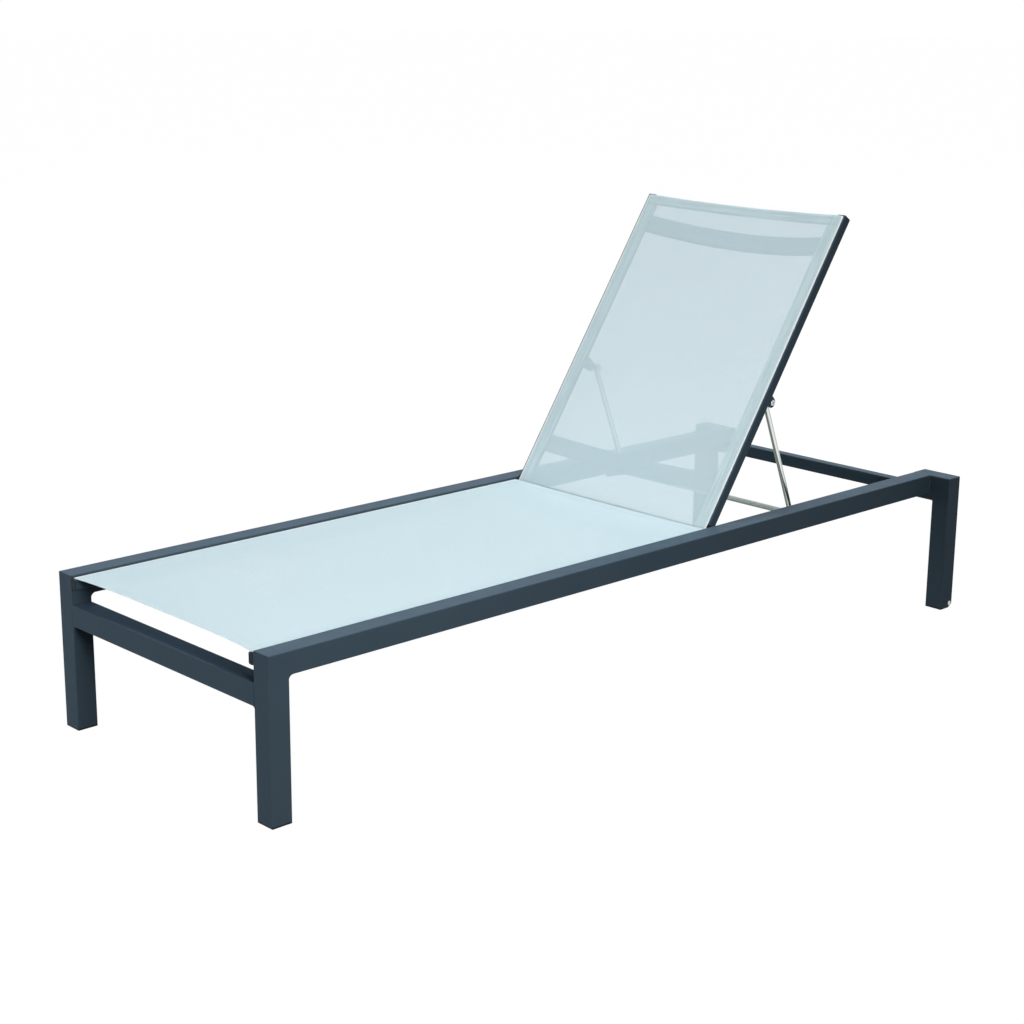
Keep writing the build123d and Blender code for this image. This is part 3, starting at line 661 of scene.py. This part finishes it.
def stitchTree():
    tree = bpy.data.node_groups.new("stitchRows", "GeometryNodeTree")
    tree.interface.new_socket("Geometry", in_out="OUTPUT", socket_type="NodeSocketGeometry")
    addSocket(tree, "Rows", "NodeSocketGeometry")
    inputs = {
        "pitch": addSocket(tree, "Pitch", "NodeSocketFloat", stitching["pitch"]),
        "stitch": addSocket(tree, "Stitch length", "NodeSocketFloat", stitching["stitch"]),
        "radius": addSocket(tree, "Thread radius", "NodeSocketFloat", stitching["radius"]),
        "material": addSocket(tree, "Material", "NodeSocketMaterial"),
    }
    nodes, links = tree.nodes, tree.links
    source = nodes.new("NodeGroupInput")
    result = nodes.new("NodeGroupOutput")
    toCurve = nodes.new("GeometryNodeMeshToCurve")
    resample = nodes.new("GeometryNodeResampleCurve")
    resample.mode = "LENGTH"
    tangent = nodes.new("GeometryNodeInputTangent")
    align = nodes.new("FunctionNodeAlignRotationToVector")
    align.axis = "X"
    sphere = nodes.new("GeometryNodeMeshUVSphere")
    sphere.inputs["Segments"].default_value = stitching["sides"]
    sphere.inputs["Rings"].default_value = stitching["rings"]
    sphere.inputs["Radius"].default_value = 1.0
    size = nodes.new("ShaderNodeCombineXYZ")
    half = nodes.new("ShaderNodeMath")
    half.operation = "MULTIPLY"
    half.inputs[1].default_value = 0.5
    stretch = nodes.new("GeometryNodeTransform")
    instance = nodes.new("GeometryNodeInstanceOnPoints")
    realize = nodes.new("GeometryNodeRealizeInstances")
    smooth = nodes.new("GeometryNodeSetShadeSmooth")
    paint = nodes.new("GeometryNodeSetMaterial")
    links.new(source.outputs["Rows"], toCurve.inputs["Mesh"])
    links.new(toCurve.outputs["Curve"], resample.inputs["Curve"])
    links.new(source.outputs["Pitch"], resample.inputs["Length"])
    links.new(resample.outputs["Curve"], instance.inputs["Points"])
    links.new(tangent.outputs["Tangent"], align.inputs["Vector"])
    links.new(align.outputs["Rotation"], instance.inputs["Rotation"])
    links.new(source.outputs["Stitch length"], half.inputs[0])
    links.new(half.outputs["Value"], size.inputs["X"])
    links.new(source.outputs["Thread radius"], size.inputs["Y"])
    links.new(source.outputs["Thread radius"], size.inputs["Z"])
    links.new(sphere.outputs["Mesh"], stretch.inputs["Geometry"])
    links.new(size.outputs["Vector"], stretch.inputs["Scale"])
    links.new(stretch.outputs["Geometry"], instance.inputs["Instance"])
    links.new(instance.outputs["Instances"], realize.inputs["Geometry"])
    links.new(realize.outputs["Geometry"], smooth.inputs["Geometry"])
    links.new(smooth.outputs["Geometry"], paint.inputs["Geometry"])
    links.new(source.outputs["Material"], paint.inputs["Material"])
    links.new(paint.outputs["Geometry"], result.inputs["Geometry"])
    return tree, inputs


def polylines(name, lines):
    mesh = bpy.data.meshes.new(name)
    points, edges = [], []
    for line in lines:
        start = len(points)
        points += line
        edges += [(start + i, start + i + 1) for i in range(len(line) - 1)]
    mesh.from_pydata(points, edges, [])
    return addObject(name, mesh)


def freeze(piece):
    # puts the evaluated result in the same object as a plain mesh
    evaluated = piece.evaluated_get(bpy.context.evaluated_depsgraph_get())
    mesh = bpy.data.meshes.new_from_object(evaluated)
    piece.modifiers.clear()
    piece.data = mesh


def hemRows(spec, place):
    lines = []
    half = spec["slotCentre"] - 2 * spec["sealedEdge"]
    lift = spec["thickness"] / 2 + stitching["radius"] * stitching["standsOut"]
    steps = stitching["rowSteps"]
    low, high = spec["folds"]
    # a narrow low fold has no row
    rows = [low - stitching["rowInset"]] if low > 2 * stitching["edgeInset"] else []
    rows += [spec["length"] - high + stitching["rowInset"], spec["length"] - stitching["edgeInset"]]
    for along in rows:
        points = [-half + 2 * half * i / steps for i in range(steps + 1)]
        lines.append([place(*clothPoint(spec, (y, spec["top"], 0), (along, lift))) for y in points])
    return lines


rowTree, rowInputs = stitchTree()
for name, spec, place, body in (("seatStitches", seatSling, seatPlace, "frame"),
                                ("backStitches", backSling, backPlace, "backrest")):
    piece = polylines(name, hemRows(spec, place))
    rows = piece.modifiers.new("rows", "NODES")
    rows.node_group = rowTree
    for key in ("pitch", "stitch", "radius"):
        rows[rowInputs[key]] = stitching[key]
    rows[rowInputs["material"]] = thread
    freeze(piece)
    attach(piece, body)
print("stitches made")


# Floor, light and camera

stageLook = {
    "floorSize": 90.0,
    "floorColour": (0.07, 0.07, 0.07),
    "floorGlow": 0.80,           # share of the floor's look that the object doesn't shade
    "floorStrength": 1.24,       # of that share
    "worldStrength": 0.075,      # of the light from all round
}


def seenDirectly(tree):
    # 1 for rays from the camera and through gloss or glass, 0 for those that carry light
    paths = tree.nodes.new("ShaderNodeLightPath")
    mirrored = maths(tree, "MAXIMUM", paths.outputs["Is Glossy Ray"], paths.outputs["Is Transmission Ray"])
    return maths(tree, "MAXIMUM", paths.outputs["Is Camera Ray"], mirrored)


def makeFloor(spec):
    mesh = bpy.data.meshes.new("floor")
    half = spec["floorSize"] / 2
    corners = [(-half, -half, 0), (half, -half, 0), (half, half, 0), (-half, half, 0)]
    mesh.from_pydata(corners, [], [(0, 1, 2, 3)])
    floor = addObject("floor", mesh)
    material = bpy.data.materials.new("paleFloor")
    tree = emptyTree(material)
    output = tree.nodes.new("ShaderNodeOutputMaterial")
    seen = seenDirectly(tree)
    plain = tree.nodes.new("ShaderNodeBsdfDiffuse")
    plain.inputs["Color"].default_value = (*spec["floorColour"], 1)
    glow = tree.nodes.new("ShaderNodeEmission")
    glow.inputs["Color"].default_value = (1, 1, 1, 1)
    glow.inputs["Strength"].default_value = spec["floorStrength"]
    mix = tree.nodes.new("ShaderNodeMixShader")
    tree.links.new(maths(tree, "MULTIPLY", seen, spec["floorGlow"]), mix.inputs["Fac"])
    tree.links.new(plain.outputs["BSDF"], mix.inputs[1])
    tree.links.new(glow.outputs["Emission"], mix.inputs[2])
    tree.links.new(mix.outputs["Shader"], output.inputs["Surface"])
    mesh.materials.append(material)


def makeWorld(spec):
    world = bpy.data.worlds.new("studio")
    tree = emptyTree(world)
    output = tree.nodes.new("ShaderNodeOutputWorld")
    background = tree.nodes.new("ShaderNodeBackground")
    background.inputs["Color"].default_value = (1, 1, 1, 1)
    seen = seenDirectly(tree)
    tree.links.new(spread(tree, seen, spec["worldStrength"], 1.0, 0, 1), background.inputs["Strength"])
    tree.links.new(background.outputs["Background"], output.inputs["Surface"])
    bpy.context.scene.world = world


# Sizes in metres, power in watts and beam in degrees. What isn't in gloss lights without being mirrored.
lamps = {
    "front": {"place": (-5.0, 1.1, 0.5), "target": (0.0, 0.0, 0.5), "size": 0.9, "power": 63.0,
              "beam": 180, "inGloss": True},
    "side": {"place": (-1.4, -3.4, 1.6), "target": (-0.9, -0.3, 0.3), "size": 1.2, "power": 14.5,
             "beam": 80, "inGloss": True},
    "back": {"place": (5.0, 0.6, 0.25), "target": (0.5, 0.0, 0.4), "size": 0.45, "power": 90.0,
             "beam": 180, "inGloss": False},
    "top": {"place": (1.7, 0.0, 9.0), "target": (0.1, 0.0, 0.3), "size": 2.4, "power": 660.0,
            "beam": 180, "inGloss": True},
}


def makeLamp(name, spec):
    light = bpy.data.lights.new(name, "AREA")
    light.shape = "SQUARE"
    light.size = spec["size"]
    light.energy = spec["power"]
    light.spread = radians(spec["beam"])
    lamp = addObject(name, light)
    lamp.visible_glossy = spec["inGloss"]
    aim = Vector(spec["target"]) - Vector(spec["place"])
    lamp.matrix_world = Matrix.Translation(spec["place"]) @ aim.to_track_quat("-Z", "Y").to_matrix().to_4x4()


# Found by fitting the frame's edges in the photograph
cameraFit = {
    "place": (-2.91708, -2.97566, 1.45974),
    "yaw": radians(46.50226),
    "pitch": radians(-15.10693),
    "roll": radians(0.48308),
    "focalPixels": 1971.59,
    "imagePixels": 1024,
    "sensor": 36.0,              # millimetres
}


def makeCamera(spec):
    data = bpy.data.cameras.new("photoCamera")
    data.sensor_fit = "HORIZONTAL"
    data.sensor_width = spec["sensor"]
    data.lens = spec["focalPixels"] / spec["imagePixels"] * spec["sensor"]
    camera = addObject("photoCamera", data)
    yaw, pitch, roll = spec["yaw"], spec["pitch"], spec["roll"]
    ahead = Vector((cos(yaw) * cos(pitch), sin(yaw) * cos(pitch), sin(pitch)))
    level = Vector((sin(yaw), -cos(yaw), 0))
    upright = level.cross(ahead)
    right = level * cos(roll) + upright * sin(roll)
    up = upright * cos(roll) - level * sin(roll)
    turn = Matrix((right, up, -ahead)).transposed().to_4x4()
    camera.matrix_world = Matrix.Translation(spec["place"]) @ turn
    bpy.context.scene.camera = camera


makeFloor(stageLook)
makeWorld(stageLook)
for name, spec in lamps.items():
    makeLamp(name, spec)
makeCamera(cameraFit)
bpy.context.scene.view_settings.view_transform = "Standard"
print("stage and camera set")
